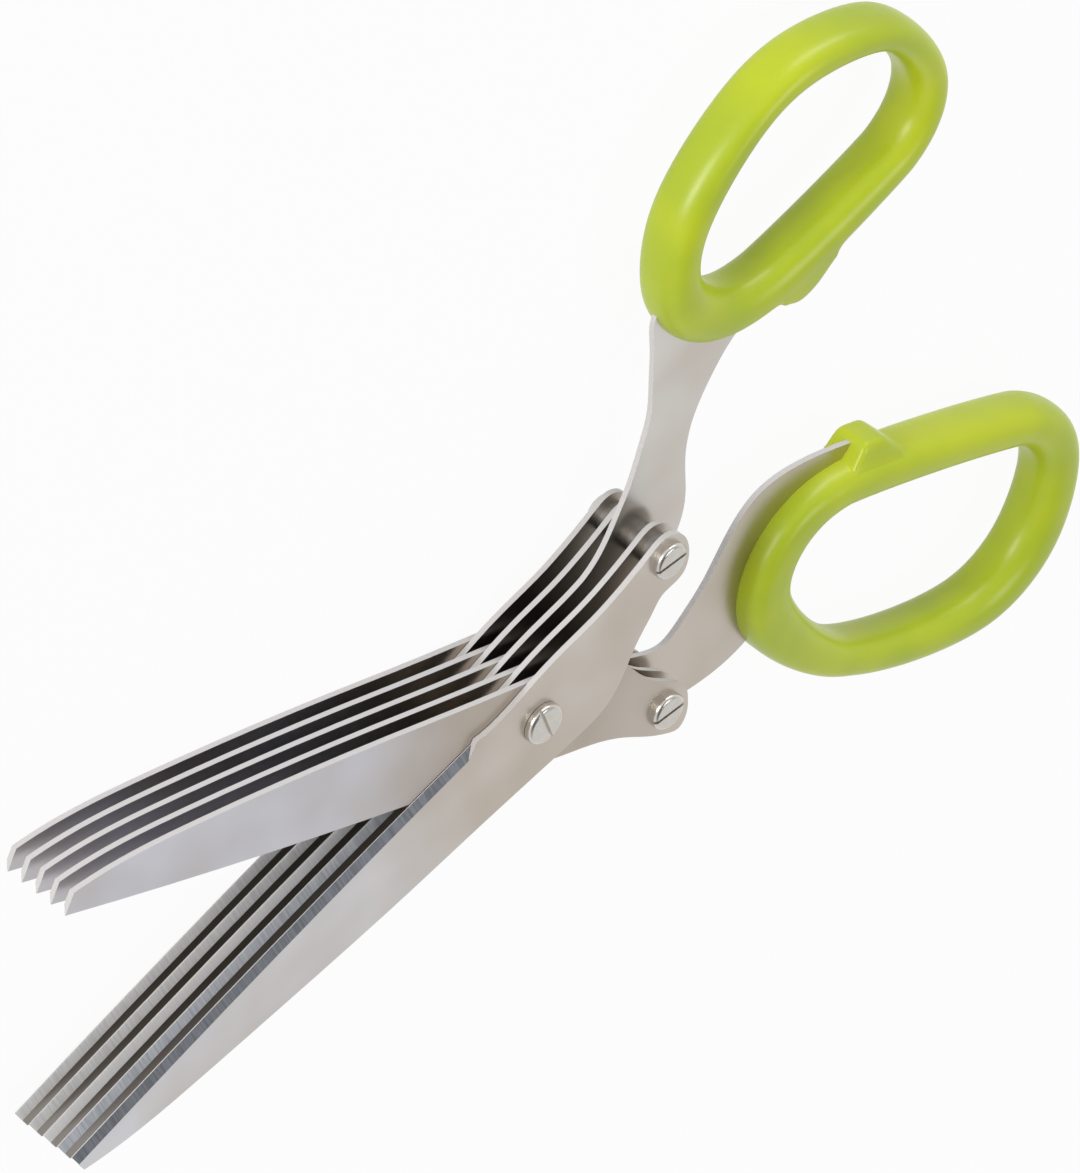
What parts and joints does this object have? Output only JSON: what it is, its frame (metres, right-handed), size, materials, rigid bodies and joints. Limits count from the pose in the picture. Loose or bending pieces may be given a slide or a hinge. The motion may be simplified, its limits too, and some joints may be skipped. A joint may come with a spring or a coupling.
{
  "type": "herb scissors",
  "caption": "Hand scissors with interleaved parallel blades on one pivot, two slotted rear screws and moulded finger loops, for snipping herbs in one cut.",
  "frame": {"origin": "on the pivot axis, at the underside of the pivot nut, where the closed or open scissors lie on a table", "axes": "+Z along the pivot axis towards the screw head, +X along the bisector of the open scissors towards the finger loops, so the blade tips point to -X; the thumb loop lies at +Y"},
  "size_m": [0.1957, 0.1358, 0.0155],
  "materials": {
    "blade_steel": "satin, with fine grinding marks on the bevels",
    "screw_steel": "bright satin",
    "grip_plastic": "soft gloss lime green"
  },
  "bodies": {
    "thumb_half": {"thumb_blade_1": "blade_steel", "thumb_blade_2": "blade_steel", "thumb_blade_3": "blade_steel", "thumb_blade_4": "blade_steel", "thumb_blade_5": "blade_steel", "thumb_grip": "grip_plastic", "pivot_screw": "screw_steel", "pivot_nut": "screw_steel", "pivot_washer_1": "screw_steel", "pivot_washer_2": "screw_steel", "pivot_washer_3": "screw_steel", "pivot_washer_4": "screw_steel", "thumb_rear_screw": "screw_steel", "thumb_rear_nut": "screw_steel", "thumb_rear_spacer_1": "screw_steel", "thumb_rear_spacer_2": "screw_steel", "thumb_rear_spacer_3": "screw_steel", "thumb_rear_spacer_4": "screw_steel"},
    "finger_half": {"finger_blade_1": "blade_steel", "finger_blade_2": "blade_steel", "finger_blade_3": "blade_steel", "finger_blade_4": "blade_steel", "finger_blade_5": "blade_steel", "finger_grip": "grip_plastic", "finger_rear_screw": "screw_steel", "finger_rear_nut": "screw_steel", "finger_rear_spacer_1": "screw_steel", "finger_rear_spacer_2": "screw_steel", "finger_rear_spacer_3": "screw_steel", "finger_rear_spacer_4": "screw_steel"}
  },
  "joints": [
    {"name": "pivot_turn", "type": "hinge", "parent": "thumb_half", "child": "finger_half", "pos_m": [0, 0, 0], "axis": [0, 0, 1], "range_deg": [-75, 35.2]}
  ]
}
